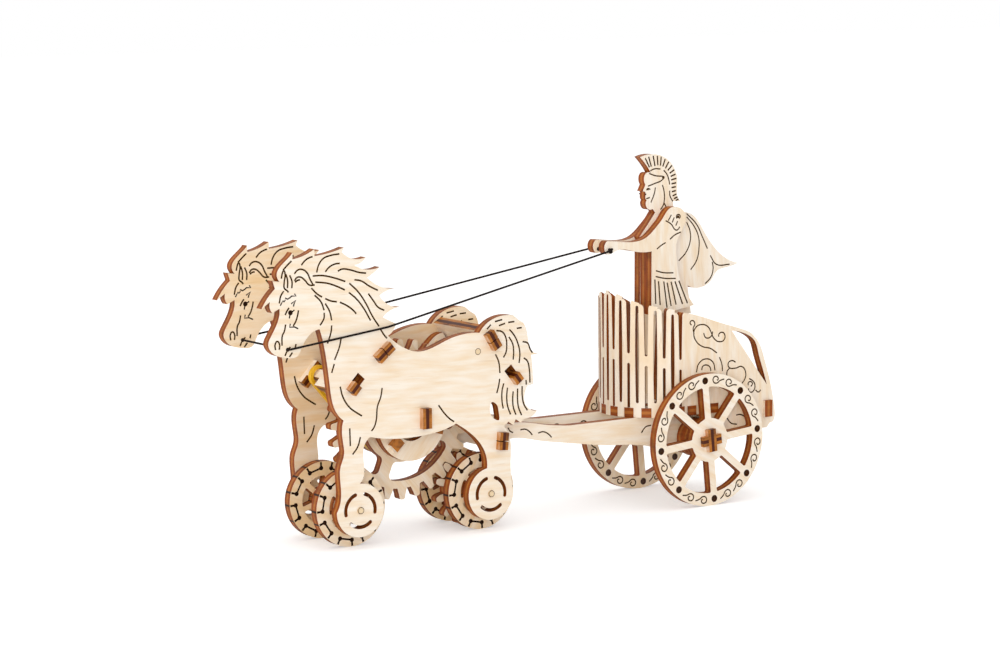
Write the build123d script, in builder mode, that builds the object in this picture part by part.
"""Plywood kit model of a two-horse racing chariot with its driver, ready to roll.

Millimetres, +X forward, +Y to the driver's left, +Z up. The floor is z = 0, and x = 0, y = 0 is the middle of
the model's box. Every plate is cut from the same sheet and every running shaft is a round stick.
"""

from math import atan2, cos, degrees, hypot, pi, radians, sin, tan

import os

from build123d import *

os.makedirs("parts", exist_ok=True)

# Sheet and sticks
ply = 3.0
stick_r = 1.0
run_gap = 0.06
slot_gap = 0.02
side_gap = 0.3
tab_out = 2.0

# Stations along the model, on the drawing's own zero
centre_x = 3.45
horse_axles = {"front": 56.4, "rear": 11.6}
belly_x, belly_z = 34.5, 36.3
gear_x, gear_z = 34.2, 34.1
chariot_axle_x = -65.4
bow_x = -57.4

# Horses
horse_gap = 23.7
horse_y = horse_gap / 2 + ply
horse_wheel_r = 11.45
horse_wheel_y = 9.4
horse_wheel_rim = 4.25
pole_hang = (8.0, 2 * horse_wheel_r + 4.1)
foot_r = 7.85
rump_pin = (15.6, 54.2)
lever_y = -7.9
mouth = (79.2, 60.0)
rein_hole_r = 0.6

# Clockwork
gear_teeth = 28
pinion_teeth = 12
tooth_out = 1.5
tooth_in = 1.85
gear_ring = 2.3
rod_depth = 3.6
spool_slot = 1.8
near_flange_y = 7.5
far_flange_y = -7.0
boss_r = 4.2

horse_boss_hole = 3.5
web_width = 1.6
pin_out = 0.4
rod_turn = -43.6
window_in = 12.6
gear_web = 3.8
web_turn = -68.0
belly_height = 6.0
gear_hole_r = hypot(belly_x + ply / 2 - gear_x, belly_z + belly_height / 2 - gear_z) + run_gap
rod_r = gear_hole_r + 1.0 + rod_depth / 2
spool_r = rod_r + rod_depth / 2 + 1.3
band_y = -6.0
band_width = 1.6
band_thick = 0.9
band_seat = 7.6
band_neck = 2.8
band_neck_r = 2.3

# Chariot
wheel_r = 20.6
wheel_rim = 4.0
wheel_y = 20.23
wheel_turn = -5.36
strip_width = 7.0
bow_r = 16.0
shell_y = 16.0
pole_y = 10.0
lug_r = 4.0
hub_r = 6.0
arch_r = hub_r + 0.8
floor_top = wheel_r + arch_r + 0.8 + ply
panel_low = floor_top - 9.7
slit = 0.9
slit_step = 10
bridge = 3.4
comb_gap = 3.1
rear_bar_x = -92.5
floor_tabs = (-61.5, -70.0)
pole_tabs = (-52.0, -79.0)
driver_tab = (-67.0, 8.0)

spoke_width = 2.3
rim_hole_ring = wheel_r - wheel_rim / 2
rim_hole_r = 1.1
strip_out = 1.5
bearing_r = hypot(strip_width / 2, ply / 2) + run_gap
pole_lobe_r = 5.7
pole_tab = 4.0
floor_tab = 3.0
floor_tab_out = 0.6
rear_tab = 5.2
rear_tab_z = floor_top - 3.6
slit_low = 1.5
slit_wide = 1.5
slit_top = 1.2
bridge_z = 13.2
strip_round = 1.3

# Driver
rein_r = 0.3
driver_y = 1.5 * ply
hand = (-39.2, 48.5)


def sheet(y, z=0):
    """Plane of a plate's near face: drawn from the left side, up from z, extruded away to the right."""
    return Plane(origin=(centre_x, y, z), x_dir=(1, 0, 0), z_dir=(0, -1, 0))


axle_z = {"horse": horse_wheel_r, "chariot": wheel_r}

# Slots through both horse plates: centre, angle, length
slots = {
    "withers": (48.2, 56.8, 141, 6.0),
    "chest": (57.4, 48.3, 133, 6.0),
    "belly": (belly_x, belly_z, 90, belly_height),
    "rump": (11.0, 57.3, 59, 5.6),
    "tail": (3.6, 46.4, 52.5, 5.4),
    "hind_leg": (*pole_hang, 95, 5.2),
}

# Horse outline as runs between sharp corners, nose first, clockwise from the left side
horse_runs = [
    [(77.1, 87.3), (80.0, 84.6), (82.2, 81.8), (81.4, 79.4)],
    [(81.4, 79.4), (83.6, 79.7)],
    [(83.6, 79.7), (82.9, 77.5)],
    [(82.9, 77.5), (85.1, 75.3), (87.3, 72.1)],
    [(87.3, 72.1), (84.6, 73.9)],
    [(84.6, 73.9), (84.7, 72.3), (83.9, 70.7)],
    [(83.9, 70.7), (81.6, 71.8)],
    [(81.6, 71.8), (81.8, 69.3), (84.6, 63.9), (85.4, 61.9), (84.1, 59.4), (79.6, 57.7), (76.1, 57.9),
     (74.5, 60.5), (72.1, 63.6), (68.8, 65.0)],
    [(68.8, 65.0), (67.1, 58.2), (65.8, 48.5), (64.2, 41.3), (61.5, 38.1)],
    [(61.5, 38.1), (61.8, 32.0), (61.6, 27.8), (62.7, 24.9), (62.8, 19.5), (64.25, 11.45)],
]
front_foot_back = (56.4, 19.3)
leg_runs = [
    [(56.4, 19.3), (55.1, 21.3), (55.0, 25.2), (52.8, 32.5)],
    [(52.8, 32.5), (45.0, 31.2), (36.0, 31.1), (28.5, 32.0), (23.5, 33.6)],
    [(23.5, 33.6), (18.0, 29.8), (13.9, 24.8), (12.9, 19.2)],
]
hind_foot_back = (3.75, 11.45)
tail_runs = [
    [(3.75, 11.45), (4.4, 15.5), (4.6, 20.0), (4.4, 24.5), (6.7, 31.2)],
    [(6.7, 31.2), (5.2, 32.4)],
    [(5.2, 32.4), (3.5, 31.2)],
    [(3.5, 31.2), (2.6, 32.9)],
    [(2.6, 32.9), (0.9, 31.7)],
    [(0.9, 31.7), (-0.8, 32.8)],
    [(-0.8, 32.8), (-3.7, 33.5), (-5.0, 34.8)],
    [(-5.0, 34.8), (-2.9, 35.2), (-0.9, 37.2), (-0.7, 40.3), (-1.7, 42.5)],
    [(-1.7, 42.5), (-3.75, 42.9)],
    [(-3.75, 42.9), (-3.6, 47.0), (-3.1, 51.7)],
    [(-3.1, 51.7), (-5.8, 51.8)],
    [(-5.8, 51.8), (-3.1, 53.2), (-1.7, 58.7), (-0.4, 61.5)],
    [(-0.4, 61.5), (1.2, 62.5)],
    [(1.2, 62.5), (3.1, 64.0)],
    [(3.1, 64.0), (8.3, 64.0), (12.3, 62.4), (15.0, 59.7)],
    [(15.0, 59.7), (20.0, 59.8), (26.2, 58.5), (31.7, 56.5), (36.0, 55.9), (42.0, 58.0), (46.3, 61.3)],
    [(46.3, 61.3), (44.6, 62.6), (43.5, 64.6)],
    [(43.5, 64.6), (47.9, 66.8)],
    [(47.9, 66.8), (45.4, 68.6), (42.0, 69.4)],
    [(42.0, 69.4), (46.1, 70.4), (48.9, 73.2)],
    [(48.9, 73.2), (46.4, 74.4), (43.8, 74.8)],
    [(43.8, 74.8), (49.3, 76.1), (52.9, 78.6)],
    [(52.9, 78.6), (50.8, 79.8), (48.6, 81.4)],
    [(48.6, 81.4), (52.9, 80.9), (57.1, 82.5)],
    [(57.1, 82.5), (55.2, 82.9), (53.2, 84.5)],
    [(53.2, 84.5), (57.5, 84.3), (61.1, 86.4)],
    [(61.1, 86.4), (60.4, 87.75)],
    [(60.4, 87.75), (64.6, 86.6), (70.0, 85.9)],
    [(70.0, 85.9), (70.0, 87.9)],
    [(70.0, 87.9), (73.6, 86.2), (77.1, 85.4)],
    [(77.1, 85.4), (77.1, 87.3)],
]
crupper_gap = [(11.2, 38.6), (11.5, 35.6), (10.5, 34.0), (8.6, 33.2), (8.6, 35.6), (9.6, 38.2)]

with BuildSketch() as horse_shape:
    with BuildLine():
        for run in horse_runs + leg_runs + tail_runs:
            Line(*run) if len(run) == 2 else Spline(*run)
        for axle, front, back in (("front", horse_runs, leg_runs), ("rear", leg_runs, tail_runs)):
            low = (horse_axles[axle] - foot_r * sin(radians(20)), axle_z["horse"] - foot_r * cos(radians(20)))
            ThreePointArc(front[-1][-1], low, back[0][0])
    make_face()
    for x in horse_axles.values():
        with Locations((x, axle_z["horse"])):
            Circle(stick_r + run_gap, mode=Mode.SUBTRACT)
            for turn in (30, 150, 270):
                SlotArc(CenterArc((0, 0), 4.9, turn - 41, 82), 1.1, mode=Mode.SUBTRACT)
    for x, z, turn, length in slots.values():
        with Locations(Location((x, z, 0), (0, 0, turn))):
            Rectangle(length, ply, mode=Mode.SUBTRACT)
    with Locations(rump_pin):
        Circle(stick_r, mode=Mode.SUBTRACT)
    with Locations(mouth):
        Circle(rein_hole_r, mode=Mode.SUBTRACT)
    with BuildLine():
        Spline(*crupper_gap, periodic=True)
    make_face(mode=Mode.SUBTRACT)

for side, y in (("left", horse_y), ("right", -horse_gap / 2)):
    with BuildPart() as horse_plate:
        with BuildSketch(sheet(y)):
            add(horse_shape.sketch)
        extrude(amount=ply)
    horse_plate.part.label = f"horse_plate_{side}"
    export_step(horse_plate.part, f"parts/horse_plate_{side}.step")

# Bars that hold the two horses apart: slot, width between them, share of the slot the tab fills, split tab
bars = [
    ("withers", 7.6, 1.0, True),
    ("chest", 8.0, 0.5, False),
    ("belly", belly_height, 1.0, False),
    ("rump", 8.0, 1.0, True),
    ("tail", 8.0, 0.5, False),
    ("hind_leg", 5.2, 1.0, True),
]
for slot, width, fill, split in bars:
    x, z, turn, length = slots[slot]
    seat = Location((x, z, 0), (0, 0, turn))
    end = horse_y + tab_out
    with BuildPart() as bar:
        with BuildSketch(sheet(end)):
            with Locations(seat * Location((-length * (1 - fill) / 2, 0, 0))):
                Rectangle(length * fill, ply)
        extrude(amount=2 * end)
        with BuildSketch(sheet(horse_gap / 2)):
            with Locations(seat):
                Rectangle(width, ply)
        extrude(amount=horse_gap)
        if split:
            for y in (end, -horse_y):
                with BuildSketch(sheet(y)):
                    with Locations(seat):
                        Rectangle(0.3, ply)
                extrude(amount=tab_out, mode=Mode.SUBTRACT)
        if slot == "chest":
            with BuildSketch(sheet(band_y + band_seat / 2)):
                with Locations(seat):
                    with Locations((-width / 2, 0), (width / 2, 0)):
                        Rectangle(width - band_neck, ply, mode=Mode.ADD)
            extrude(amount=band_seat, mode=Mode.SUBTRACT)
    bar.part.label = f"{slot}_bar"
    export_step(bar.part, f"parts/{slot}_bar.step")

# Rubber band from the chest bar's neck round the spool's rods
band_in = hypot(rod_r + rod_depth / 2, ply / 2) + side_gap
with BuildPart() as band:
    with BuildSketch(sheet(band_y + band_width / 2)):
        for grow, how in ((band_thick, Mode.ADD), (0, Mode.SUBTRACT)):
            with BuildSketch(mode=Mode.PRIVATE) as loop:
                with Locations((gear_x, gear_z)):
                    Circle(band_in + grow)
                with Locations(slots["chest"][:2]):
                    Circle(band_neck_r + grow)
                make_hull()
            add(loop.sketch, mode=how)
    extrude(amount=band_width)
band.part.label = "rubber_band"
export_step(band.part, "parts/rubber_band.step")

# Brake lever, pinned at the rump beside the right horse, its finger lying just over the far flange
with BuildPart() as brake_lever:
    with BuildSketch(sheet(lever_y)):
        with BuildLine():
            Spline(
                (13.6, 57.3), (15.4, 56.9), (19.3, 53.7), (22.5, 50.8), (25.5, 47.8), (28.0, 46.1),
            )
            Line((28.0, 46.1), (27.4, 44.6))
            Spline(
                (27.4, 44.6), (24.8, 45.9), (21.3, 48.9), (17.6, 51.0), (14.8, 51.3), (12.6, 52.6), (12.1, 54.4),
                (12.7, 56.2), (13.6, 57.3),
            )
        make_face()
        with Locations(rump_pin):
            Circle(stick_r, mode=Mode.SUBTRACT)
    extrude(amount=ply)
brake_lever.part.label = "brake_lever"
export_step(brake_lever.part, "parts/brake_lever.step")

with BuildPart() as lever_pin:
    with BuildSketch(sheet(horse_y)):
        with Locations(rump_pin):
            Circle(stick_r)
    extrude(amount=2 * horse_y)
lever_pin.part.label = "lever_pin"
export_step(lever_pin.part, "parts/lever_pin.step")

# Horse wheels: a rim, six webs and a pin hole, with a round boss pinned inside each
with BuildSketch() as horse_wheel_window:
    Circle(horse_wheel_r - horse_wheel_rim)
    Circle(horse_boss_hole, mode=Mode.SUBTRACT)
    with BuildLine():
        far = 2 * horse_wheel_r
        apex = web_width / 2 / sin(radians(30))
        Polyline((apex, 0), (apex + far, far * tan(radians(30))), (apex + far, -far * tan(radians(30))), close=True)
    make_face(mode=Mode.INTERSECT)
    fillet(horse_wheel_window.vertices(), 0.45)
with BuildSketch() as horse_wheel_shape:
    Circle(horse_wheel_r)
    with PolarLocations(0, 6, 12):
        add(horse_wheel_window.sketch, mode=Mode.SUBTRACT)
    Circle(stick_r, mode=Mode.SUBTRACT)

for axle, x in horse_axles.items():
    for side, y in (("left", horse_wheel_y), ("right", -horse_wheel_y + ply)):
        with BuildPart() as wheel:
            with BuildSketch(sheet(y)):
                with Locations((x, axle_z["horse"])):
                    add(horse_wheel_shape.sketch)
            extrude(amount=ply)
        wheel.part.label = f"{axle}_wheel_{side}"
        export_step(wheel.part, f"parts/{axle}_wheel_{side}.step")
    for side, y in (("left", horse_wheel_y - ply), ("right", -horse_wheel_y + 2 * ply)):
        with BuildPart() as boss:
            with BuildSketch(sheet(y)):
                with Locations((x, axle_z["horse"])):
                    Circle(boss_r)
                    Circle(stick_r, mode=Mode.SUBTRACT)
            extrude(amount=ply)
        boss.part.label = f"{axle}_boss_{side}"
        export_step(boss.part, f"parts/{axle}_boss_{side}.step")
    with BuildPart() as pin:
        with BuildSketch(sheet(horse_y + pin_out)):
            with Locations((x, axle_z["horse"])):
                Circle(stick_r)
        extrude(amount=2 * (horse_y + pin_out))
    pin.part.label = f"{axle}_axle_pin"
    export_step(pin.part, f"parts/{axle}_axle_pin.step")

# Gear train: the spring drum's gear drives the pinion on the rear axle
reach = (horse_axles["rear"] - gear_x, axle_z["horse"] - gear_z)
module = 2 * hypot(*reach) / (gear_teeth + pinion_teeth)
mesh_turn = degrees(atan2(reach[1], reach[0]))


def tooth(teeth, inner, outer, root_half, tip_half):
    """Half-widths at root, pitch line and tip of one tooth that points along +X."""
    pitch = module * teeth / 2
    pitch_half = 0.22 * pi * module
    return [(inner - 0.5, root_half), (inner, root_half), (pitch, pitch_half), (outer, tip_half)]


with BuildSketch() as gear_window:
    Circle(module * gear_teeth / 2 - tooth_in - gear_ring)
    Circle(window_in, mode=Mode.SUBTRACT)
    with BuildLine():
        far = 2 * module * gear_teeth
        apex = gear_web / 2 / sin(radians(45))
        Polyline((apex, 0), (apex + far, far), (apex + far, -far), close=True)
    make_face(mode=Mode.INTERSECT)
    fillet(gear_window.vertices(), 1.6)

for name, teeth, turn, root_half, tip_half in (
    ("drive_gear", gear_teeth, mesh_turn + 180 / gear_teeth, 1.62, 0.85),
    ("pinion", pinion_teeth, mesh_turn + 180, 1.0, 0.7),
):
    pitch = module * teeth / 2
    half = tooth(teeth, pitch - tooth_in, pitch + tooth_out, root_half, tip_half)
    outline = [(r, -w) for r, w in half] + [(r, w) for r, w in reversed(half)]
    with BuildSketch() as one_tooth:
        with BuildLine():
            Polyline(*outline, close=True)
        make_face()
        fillet(one_tooth.vertices().sort_by(Axis.X)[-2:], tip_half * 0.9)
    with BuildSketch() as toothed:
        Circle(pitch - tooth_in)
        with PolarLocations(0, teeth, turn):
            add(one_tooth.sketch)
    centre = (gear_x, gear_z) if name == "drive_gear" else (horse_axles["rear"], axle_z["horse"])
    with BuildPart() as cog:
        with BuildSketch(sheet(ply / 2)):
            with Locations(centre):
                add(toothed.sketch)
                if name == "pinion":
                    Circle(stick_r, mode=Mode.SUBTRACT)
                else:
                    Circle(gear_hole_r, mode=Mode.SUBTRACT)
                    with PolarLocations(rod_r, 3, rod_turn):
                        Rectangle(rod_depth, ply, mode=Mode.SUBTRACT)
                    with PolarLocations(0, 4, web_turn + 45):
                        add(gear_window.sketch, mode=Mode.SUBTRACT)
        extrude(amount=ply)
    cog.part.label = name
    export_step(cog.part, f"parts/{name}.step")

# Spool: two flanges on three rods that pass through the gear
for side, y in (("near", near_flange_y), ("far", far_flange_y)):
    with BuildPart() as flange:
        with BuildSketch(sheet(y)):
            with Locations((gear_x, gear_z)):
                Circle(spool_r)
                Circle(gear_hole_r, mode=Mode.SUBTRACT)
                with PolarLocations(rod_r, 3, rod_turn):
                    Rectangle(rod_depth, ply, mode=Mode.SUBTRACT)
                for k in range(3):
                    SlotArc(CenterArc((0, 0), rod_r, rod_turn + 60 + 120 * k - 24, 48), spool_slot, mode=Mode.SUBTRACT)
        extrude(amount=ply)
    flange.part.label = f"spool_flange_{side}"
    export_step(flange.part, f"parts/spool_flange_{side}.step")

with BuildPart() as spool_rods:
    with BuildSketch(sheet(near_flange_y + tab_out)):
        with Locations((gear_x, gear_z)):
            with PolarLocations(rod_r, 3, rod_turn):
                Rectangle(rod_depth, ply)
    extrude(amount=near_flange_y - far_flange_y + ply + tab_out)
for k, rod in enumerate(spool_rods.solids(), 1):
    rod.label = f"spool_rod_{k}"
    export_step(rod, f"parts/spool_rod_{k}.step")

# Chariot wheels, each keyed on a cross of two interlocking strips
with BuildSketch() as wheel_window:
    Circle(wheel_r - wheel_rim)
    Circle(hub_r + 0.8, mode=Mode.SUBTRACT)
    with BuildLine():
        far = 2 * wheel_r
        apex = spoke_width / 2 / sin(radians(22.5))
        Polyline((apex, 0), (apex + far, far * tan(radians(22.5))), (apex + far, -far * tan(radians(22.5))), close=True)
    make_face(mode=Mode.INTERSECT)
    fillet(wheel_window.vertices(), 0.5)
with BuildSketch() as chariot_wheel_shape:
    Circle(wheel_r)
    with PolarLocations(0, 8, 22.5):
        add(wheel_window.sketch, mode=Mode.SUBTRACT)
    with PolarLocations(rim_hole_ring, 8):
        Circle(rim_hole_r, mode=Mode.SUBTRACT)
    Rectangle(strip_width, ply, mode=Mode.SUBTRACT)
    Rectangle(ply, strip_width, mode=Mode.SUBTRACT)

axle_at = Location((chariot_axle_x, axle_z["chariot"], 0), (0, 0, wheel_turn))
with BuildSketch() as disc_shape:
    Circle(hub_r)
    Rectangle(strip_width, ply, mode=Mode.SUBTRACT)
    Rectangle(ply, strip_width, mode=Mode.SUBTRACT)

for side, y in (("left", wheel_y), ("right", -wheel_y + ply)):
    with BuildPart() as wheel:
        with BuildSketch(sheet(y)):
            with Locations(axle_at):
                add(chariot_wheel_shape.sketch)
        extrude(amount=ply)
    wheel.part.label = f"chariot_wheel_{side}"
    export_step(wheel.part, f"parts/chariot_wheel_{side}.step")
for name, y in (
    ("outer_left", wheel_y - ply), ("inner_left", wheel_y - 2 * ply),
    ("inner_right", 3 * ply - wheel_y), ("outer_right", 2 * ply - wheel_y),
):
    with BuildPart() as hub:
        with BuildSketch(sheet(y)):
            with Locations(axle_at):
                add(disc_shape.sketch)
        extrude(amount=ply)
    hub.part.label = f"hub_disc_{name}"
    export_step(hub.part, f"parts/hub_disc_{name}.step")

strip_end = wheel_y + strip_out
for name, long, tall, slot_from in (
    ("axle_strip_flat", strip_width, ply, strip_end),
    ("axle_strip_upright", ply, strip_width, 0),
):
    with BuildPart() as strip:
        with BuildSketch(sheet(strip_end)):
            with Locations(axle_at):
                Rectangle(long, tall)
        extrude(amount=2 * strip_end)
        with BuildSketch(sheet(slot_from)):
            with Locations(axle_at):
                Rectangle(ply, ply)
        extrude(amount=strip_end, mode=Mode.SUBTRACT)
    strip.part.label = name
    export_step(strip.part, f"parts/{name}.step")

# Pole plates, hung on the hind-leg bar, with the chariot's axle running in their round ends
pole_top = [(pole_hang[0] + 1.0, pole_hang[1] + lug_r * 0.96), (2.0, 31.0), (-4.5, 30.6), (-9.5, 29.6), (-15.0, 28.7),
            (-20.0, floor_top - ply)]
pole_low = [(-50.0, 18.7), (-47.0, 19.4), (-43.0, 20.0), (-37.5, 20.4), (-32.5, 20.9), (-27.5, 21.6), (-22.5, 22.4),
            (-17.5, 23.2), (-12.5, 24.0), (-7.5, 25.0), (-3.0, 26.0), (2.0, 26.2), (pole_hang[0], pole_hang[1] - lug_r)]
with BuildSketch() as pole_shape:
    with BuildLine():
        Spline(*pole_top)
        Polyline(pole_top[-1], (-82.0, floor_top - ply), (-82.0, panel_low), (-74.0, panel_low),
                 (chariot_axle_x - 5.0, axle_z["chariot"] - 2.7))
        Line((chariot_axle_x - 5.0, axle_z["chariot"] - 2.7), (chariot_axle_x + 5.2, axle_z["chariot"] - 2.3))
        Line((chariot_axle_x + 5.2, axle_z["chariot"] - 2.3), pole_low[0])
        Spline(*pole_low)
        Line(pole_low[-1], pole_top[0])
    make_face()
    with Locations(pole_hang):
        Circle(lug_r)
    with Locations(axle_at):
        Circle(pole_lobe_r)
        Circle(bearing_r, mode=Mode.SUBTRACT)
    for x in pole_tabs:
        with Locations((x, floor_top - ply / 2)):
            Rectangle(pole_tab, ply + 1)
    with Locations(Location((*pole_hang, 0), (0, 0, slots["hind_leg"][2]))):
        Rectangle(slots["hind_leg"][3], ply, mode=Mode.SUBTRACT)

for side, y in (("left", pole_y), ("right", -pole_y + ply)):
    with BuildPart() as pole_plate:
        with BuildSketch(sheet(y)):
            add(pole_shape.sketch)
        extrude(amount=ply)
    pole_plate.part.label = f"pole_plate_{side}"
    export_step(pole_plate.part, f"parts/pole_plate_{side}.step")

# Body shell: one sheet bent round the bow on a comb of slits
panel_edge = [(-68.7, 26.2), (-73.7, 24.5), (-78.7, 23.0), (-81.7, 22.0), (-84.2, 21.0), (-86.2, 19.4), (-88.2, 16.8),
              (-89.7, 13.1), (-91.0, 9.1), (-92.2, 5.1), (-93.2, 1.1), (-93.9, -2.9), (-94.2, -5.9), (-93.7, -7.7),
              (-92.2, -8.3)]
rail_gap = [(-77.2, 22.0), (-83.7, 20.1), (-86.2, 18.1), (-87.7, 14.1), (-89.7, 8.1), (-91.0, 3.9)]
slit_count = int(180 / slit_step) + 1


def rim(k):
    """Height above the floor of the shell's top edge at slit k, highest at the middle of the bow."""
    return 29.2 + 0.72 * min(k, slit_count - 1 - k)


shell_in = shell_y - ply
with BuildPart() as body_shell:
    with BuildSketch(Plane.XY.offset(panel_low)):
        with Locations((centre_x + bow_x, 0)):
            Circle(shell_y)
            with Locations((-20, 0)):
                Rectangle(40, 2 * shell_y)
            Circle(shell_in, mode=Mode.SUBTRACT)
            with Locations((-20, 0)):
                Rectangle(40, 2 * shell_in, mode=Mode.SUBTRACT)
    extrude(amount=50)
    with BuildSketch(sheet(shell_y, floor_top)):
        with BuildLine():
            bow = [(bow_x + shell_y * sin(radians(slit_step * k)), rim(k)) for k in range(0, 10, 3)]
            Spline((bow_x, rim(0)), *panel_edge)
            Spline(*bow)
            Line(bow[-1], (bow[-1][0] + 1, rim(9)))
            Polyline((bow[-1][0] + 1, rim(9)), (bow[-1][0] + 1, -ply), (chariot_axle_x, -ply),
                     (chariot_axle_x, panel_low - floor_top), (-91.0, panel_low - floor_top), panel_edge[-1])
        make_face()
        with BuildLine():
            Spline(*rail_gap)
            Line(rail_gap[-1], rail_gap[0])
        make_face(mode=Mode.SUBTRACT)
        with Locations((chariot_axle_x, wheel_r - floor_top)):
            Circle(arch_r, mode=Mode.SUBTRACT)
        for x in floor_tabs:
            with Locations((x, -ply / 2)):
                Rectangle(floor_tab, ply, mode=Mode.SUBTRACT)
        with Locations((rear_bar_x + ply / 2, rear_tab_z - floor_top)):
            Rectangle(ply, rear_tab, mode=Mode.SUBTRACT)
    extrude(amount=2 * shell_y, mode=Mode.INTERSECT)
    for k in range(slit_count):
        turn = radians(slit_step * k)
        out = (sin(turn), cos(turn))
        face = Plane(
            origin=(centre_x + bow_x + (shell_in - 1) * out[0], (shell_in - 1) * out[1], floor_top),
            x_dir=(-out[1], out[0], 0), z_dir=(out[0], out[1], 0),
        )
        top = rim(k)
        middle = bridge_z + 0.4 * min(k, slit_count - 1 - k)
        with BuildSketch(face):
            if k % 2:
                with BuildLine():
                    low, high, w, m = slit_low, top - slit_top, slit / 2, 0.7 * slit
                    Spline((-w, low + w), (-m, (low + high) / 2), (-w, high - w))
                    ThreePointArc((-w, high - w), (0, high), (w, high - w))
                    Spline((w, high - w), (m, (low + high) / 2), (w, low + w))
                    ThreePointArc((w, low + w), (0, low), (-w, low + w))
                make_face()
            else:
                with BuildLine():
                    low, w, m, r = middle + bridge / 2, slit / 2, slit_wide / 2, strip_round
                    Line((-w, low), (-m, top - r))
                    RadiusArc((-m, top - r), (-m - r, top), -r)
                    Polyline((-m - r, top), (-m - r, top + 3), (m + r, top + 3), (m + r, top))
                    RadiusArc((m + r, top), (m, top - r), -r)
                    Line((m, top - r), (w, low))
                    ThreePointArc((w, low), (0, low - w), (-w, low))
                make_face()
                with Locations((0, (middle - bridge / 2 - ply - 2) / 2)):
                    SlotOverall(middle - bridge / 2 + ply + 2, slit, rotation=90)
                with Locations((0, -ply / 2)):
                    Rectangle(comb_gap, ply)
        extrude(amount=ply + 2, mode=Mode.SUBTRACT)
body_shell.part.label = "body_shell"
export_step(body_shell.part, "parts/body_shell.step")

# Floor: its front teeth stand in the shell's comb and its tabs reach through the side panels
with BuildPart() as floor_plate:
    with BuildSketch(Plane.XY.offset(floor_top - ply)):
        with Locations((centre_x + bow_x, 0)):
            Circle(shell_in)
            for k in range(0, slit_count, 2):
                with Locations(Rotation(0, 0, 90 - slit_step * k) * Location((shell_y / 2, 0))):
                    Rectangle(shell_y, comb_gap)
        rear = rear_bar_x + ply
        with Locations((centre_x + (bow_x + rear) / 2, 0)):
            Rectangle(bow_x - rear, 2 * shell_in)
        for x in floor_tabs:
            with Locations((centre_x + x, 0)):
                Rectangle(floor_tab, 2 * (shell_y + floor_tab_out))
        for x in pole_tabs:
            for y in (pole_y - ply / 2, ply / 2 - pole_y):
                with Locations((centre_x + x, y)):
                    Rectangle(pole_tab, ply, mode=Mode.SUBTRACT)
        with Locations((centre_x + driver_tab[0], 0)):
            Rectangle(driver_tab[1], ply, mode=Mode.SUBTRACT)
    extrude(amount=ply)
floor_plate.part.label = "floor_plate"
export_step(floor_plate.part, "parts/floor_plate.step")

with BuildPart() as rear_bar:
    with BuildSketch(Plane(origin=(centre_x + rear_bar_x, 0, 0), x_dir=(0, 1, 0), z_dir=(1, 0, 0))):
        with Locations((0, (22.5 + floor_top) / 2)):
            Rectangle(2 * shell_in, floor_top - 22.5)
        with Locations((0, rear_tab_z)):
            Rectangle(2 * (shell_y + tab_out / 2), rear_tab)
    extrude(amount=ply)
rear_bar.part.label = "rear_bar"
export_step(rear_bar.part, "parts/rear_bar.step")

# Driver: a core plate with head, cloak and legs between two plates with an arm and a kilt each
core_runs = [
    [(-57.0, 71.2), (-55.0, 74.0), (-52.9, 76.2)],
    [(-52.9, 76.2), (-58.0, 76.9), (-63.5, 75.0), (-66.6, 71.1), (-67.2, 68.6), (-67.0, 65.8), (-68.3, 61.8)],
    [(-68.3, 61.8), (-65.5, 62.0)],
    [(-65.5, 62.0), (-65.8, 60.0), (-72.0, 57.8), (-76.5, 53.3), (-79.8, 48.6), (-84.0, 44.3), (-90.7, 41.1)],
    [(-90.7, 41.1), (-85.0, 39.8), (-82.5, 39.0), (-80.3, 36.3), (-77.0, 34.5), (-71.0, 35.3)],
    [(-71.0, 35.3), (-72.3, 26.4)],
    [(-57.6, 60.0), (-55.7, 60.2), (-55.0, 61.6), (-55.4, 62.8)],
    [(-55.4, 62.8), (-54.9, 63.7), (-55.0, 65.0), (-53.9, 65.6)],
    [(-53.9, 65.6), (-54.9, 67.6)],
    [(-54.9, 67.6), (-54.4, 69.0), (-54.7, 70.6), (-57.0, 71.2)],
]
foot = -ply - 1.0
with BuildSketch() as core_shape:
    with BuildLine():
        for run in core_runs:
            Line(*run) if len(run) == 2 else Spline(*run)
        Polyline((-72.3, 26.4), (-70.0, 26.4), (driver_tab[0] - driver_tab[1] / 2, 0),
                 (driver_tab[0] - driver_tab[1] / 2, foot), (driver_tab[0] + driver_tab[1] / 2, foot),
                 (driver_tab[0] + driver_tab[1] / 2, 0), (-59.5, 0), (-61.0, 26.4), (-55.0, 27.4), (-55.0, 47.2),
                 (-52.6, 51.6), (-55.6, 55.1), (-58.6, 58.8), (-57.6, 60.0))
    make_face()
with BuildPart() as driver_core:
    with BuildSketch(sheet(ply / 2, floor_top)):
        add(core_shape.sketch)
    extrude(amount=ply)
driver_core.part.label = "driver_core"
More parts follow.
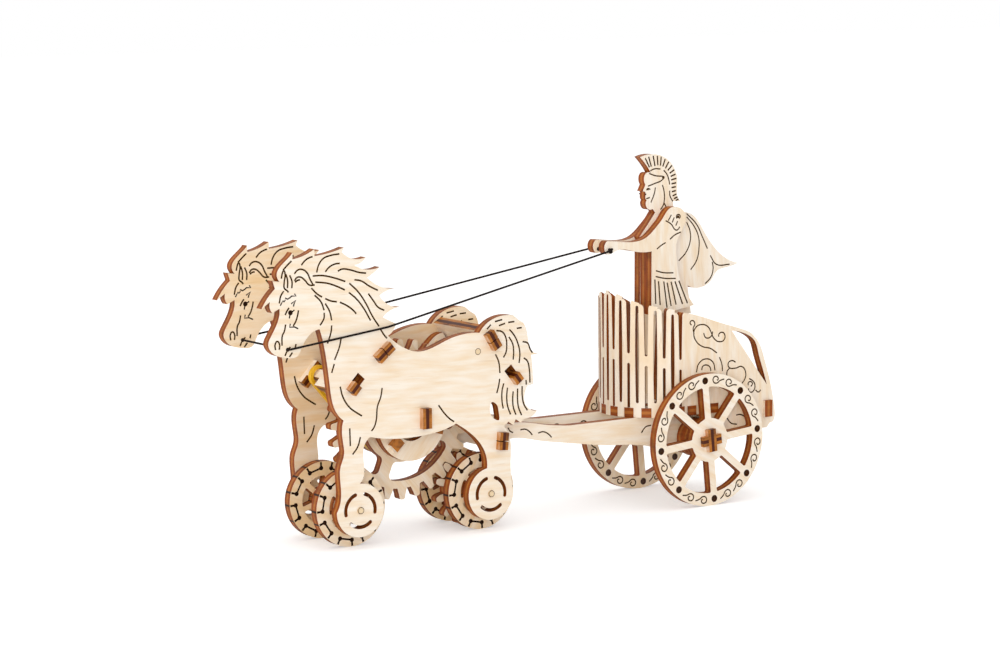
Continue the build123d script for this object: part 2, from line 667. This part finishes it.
export_step(driver_core.part, "parts/driver_core.step")

side_runs = [
    [(-66.0, 60.0), (-60.5, 58.8), (-59.0, 56.8), (-57.5, 55.3), (-55.0, 53.0), (-52.5, 51.4), (-45.0, 50.7),
     (-38.3, 51.4)],
    [(-38.3, 51.4), (-37.3, 50.2), (-37.3, 48.6), (-38.0, 47.5), (-42.0, 48.3), (-48.0, 47.7), (-55.0, 47.2)],
    [(-55.0, 47.2), (-54.8, 27.4)],
    [(-54.8, 27.4), (-60.0, 27.8), (-66.0, 28.5), (-71.2, 29.4)],
    [(-71.2, 29.4), (-69.0, 32.3), (-67.0, 35.3), (-65.5, 38.8), (-64.7, 43.8), (-64.5, 48.8), (-66.5, 52.8),
     (-68.2, 57.0), (-66.0, 60.0)],
]
with BuildSketch() as side_shape:
    with BuildLine():
        for run in side_runs:
            Line(*run) if len(run) == 2 else Spline(*run)
    make_face()
    with Locations(hand):
        Circle(rein_hole_r, mode=Mode.SUBTRACT)
for side, y in (("left", driver_y), ("right", -ply / 2)):
    with BuildPart() as driver_side:
        with BuildSketch(sheet(y, floor_top)):
            add(side_shape.sketch)
        extrude(amount=ply)
    driver_side.part.label = f"driver_side_{side}"
    export_step(driver_side.part, f"parts/driver_side_{side}.step")

# Reins: one string from hand to hand, round both necks and through both mouths
rein_out = horse_y + rein_r + 0.3
hand_z = floor_top + hand[1]
rein_half = [(hand[0], driver_y - ply - rein_r, hand_z), (hand[0], driver_y + 0.8, hand_z), (46.7, rein_out + 0.3, 64.0),
             (mouth[0], rein_out, mouth[1])]
with BuildPart() as reins:
    with BuildLine() as string:
        near = [(x + centre_x, y, z) for x, y, z in rein_half]
        FilletPolyline(*near, *[(x, -y, z) for x, y, z in reversed(near)], radius=0.5)
    with BuildSketch(Plane(origin=string.line @ 0, z_dir=string.line % 0)):
        Circle(rein_r)
    sweep()
    with Locations(string.line @ 0, string.line @ 1):
        Sphere(1.7 * rein_r)
reins.part.label = "reins"
export_step(reins.part, "parts/reins.step")
